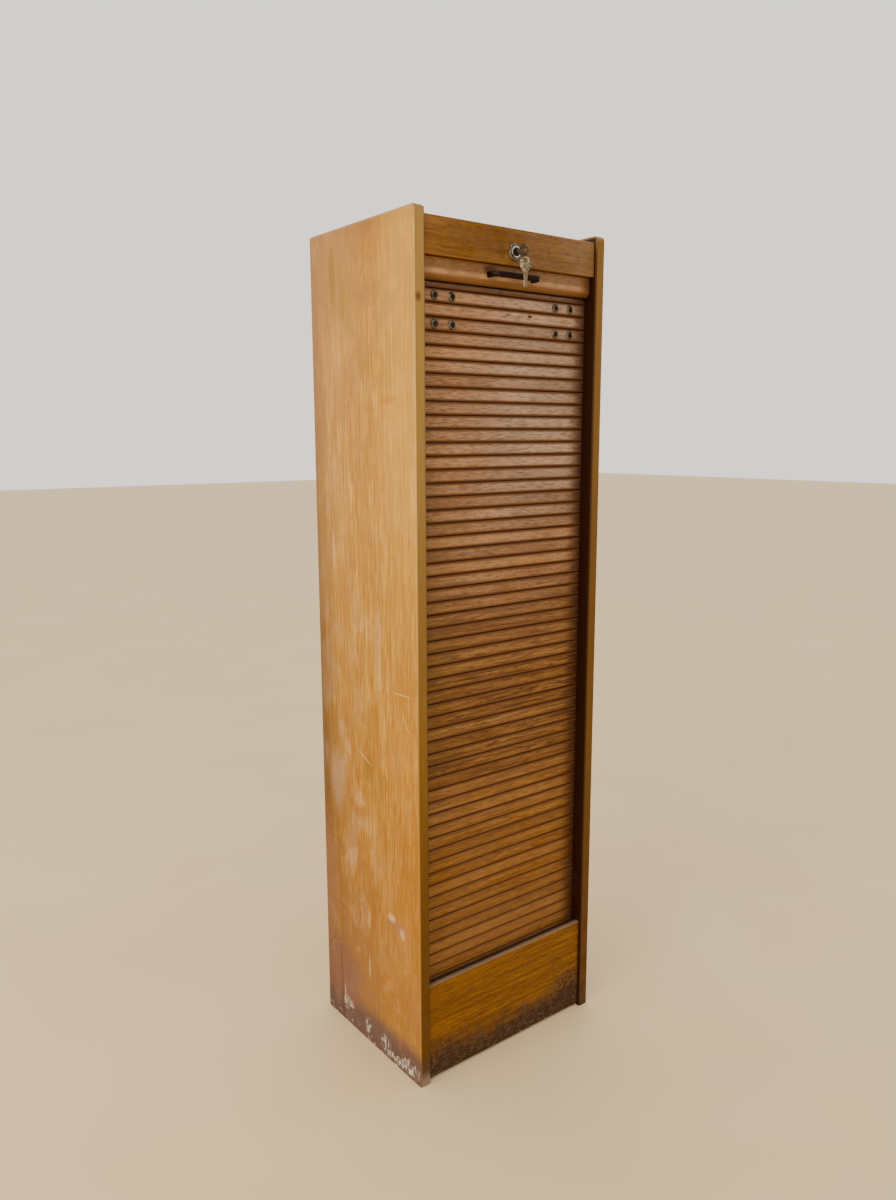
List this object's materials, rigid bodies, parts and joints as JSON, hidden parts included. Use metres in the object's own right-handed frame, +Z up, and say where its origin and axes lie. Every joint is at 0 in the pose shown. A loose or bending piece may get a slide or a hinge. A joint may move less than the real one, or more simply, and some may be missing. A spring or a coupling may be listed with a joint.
{
  "type": "tambour door cabinet",
  "caption": "Tall narrow oak filing cabinet whose slatted tambour door slides down behind the plinth; cam lock and bow handle at the top.",
  "frame": {"origin": "on the floor, under the middle of the whole object", "axes": "+Z up; the door faces -Y; +X to the right of someone who faces the door"},
  "size_m": [0.392, 0.3304, 1.4],
  "materials": {
    "side_veneer": "oak veneer, old varnish, scuffed near the floor",
    "front_oak": "solid oak, varnished",
    "plinth_oak": "solid oak, varnished, dark with dirt along the floor",
    "slat_oak": "oak slats, varnished",
    "inside_oak": "oak, thin matt finish",
    "plywood": "plywood, unfinished",
    "canvas": "coarse linen canvas",
    "dark_handle": "black-brown lacquer, rubbed",
    "zinc_steel": "zinc plated",
    "aged_steel": "tarnished nickel plate",
    "nickel": "polished nickel plate, worn",
    "key_metal": "nickel silver, dull"
  },
  "bodies": {
    "root": {"side_panel_left": "side_veneer", "side_panel_right": "side_veneer", "top_board": "front_oak", "fascia": "front_oak", "plinth": "plinth_oak", "floor_shelf": "inside_oak", "shelf_1": "inside_oak", "shelf_2": "inside_oak", "shelf_3": "inside_oak", "shelf_4": "inside_oak", "shelf_5": "inside_oak", "inner_back_panel": "plywood", "back_panel": "plywood", "escutcheon": "nickel", "lock_housing": "nickel", "lock_nut": "zinc_steel"},
    "tambour": {"lead_rail": "front_oak", "handle": "dark_handle", "handle_screw_left": "zinc_steel", "handle_screw_right": "zinc_steel", "tambour_slat_0": "slat_oak", "tambour_slat_1": "slat_oak", "tambour_slat_2": "slat_oak", "tambour_slat_3": "slat_oak", "tambour_slat_4": "slat_oak", "canvas_backing": "canvas", "tambour_curtain": "slat_oak", "strike_plate": "zinc_steel", "strike_screw_left": "zinc_steel", "strike_screw_right": "zinc_steel", "backing_plate_left": "zinc_steel", "backing_plate_right": "zinc_steel", "slat_screw_1": "aged_steel", "slat_screw_2": "aged_steel", "slat_screw_3": "aged_steel", "slat_screw_4": "aged_steel", "slat_screw_5": "aged_steel", "slat_screw_6": "aged_steel", "slat_screw_7": "aged_steel", "slat_screw_8": "aged_steel", "cup_washer_1": "aged_steel", "cup_washer_2": "aged_steel", "cup_washer_3": "aged_steel", "cup_washer_4": "aged_steel", "cup_washer_5": "aged_steel", "cup_washer_6": "aged_steel", "cup_washer_7": "aged_steel", "cup_washer_8": "aged_steel"},
    "lock": {"lock_plug": "nickel", "lock_cam": "zinc_steel", "cam_screw": "zinc_steel", "key": "key_metal"},
    "key_ring": {"key_ring": "aged_steel"},
    "spare_key": {"spare_key": "key_metal"}
  },
  "joints": [
    {"name": "tambour_slide", "type": "slide", "parent": "root", "child": "tambour", "axis": [0, 0, -1], "range_m": [0, 1.127], "deforming": ["tambour_curtain"]},
    {"name": "lock_turn", "type": "hinge", "parent": "root", "child": "lock", "pos_m": [0, -0.13682, 1.3535], "axis": [0, -1, 0], "range_deg": [0, 90]},
    {"name": "key_ring_hang", "type": "hinge", "parent": "lock", "child": "key_ring", "pos_m": [0, -0.13682, 1.3483], "axis": [0, -1, 0], "range_deg": [-90, 0]},
    {"name": "spare_key_swing", "type": "hinge", "parent": "key_ring", "child": "spare_key", "pos_m": [0, -0.13682, 1.3388], "axis": [0, -1, 0], "range_deg": [-15, 15]}
  ],
  "couplings": [
    {"joint": "key_ring_hang", "follows": "lock_turn", "ratio": -1}
  ]
}
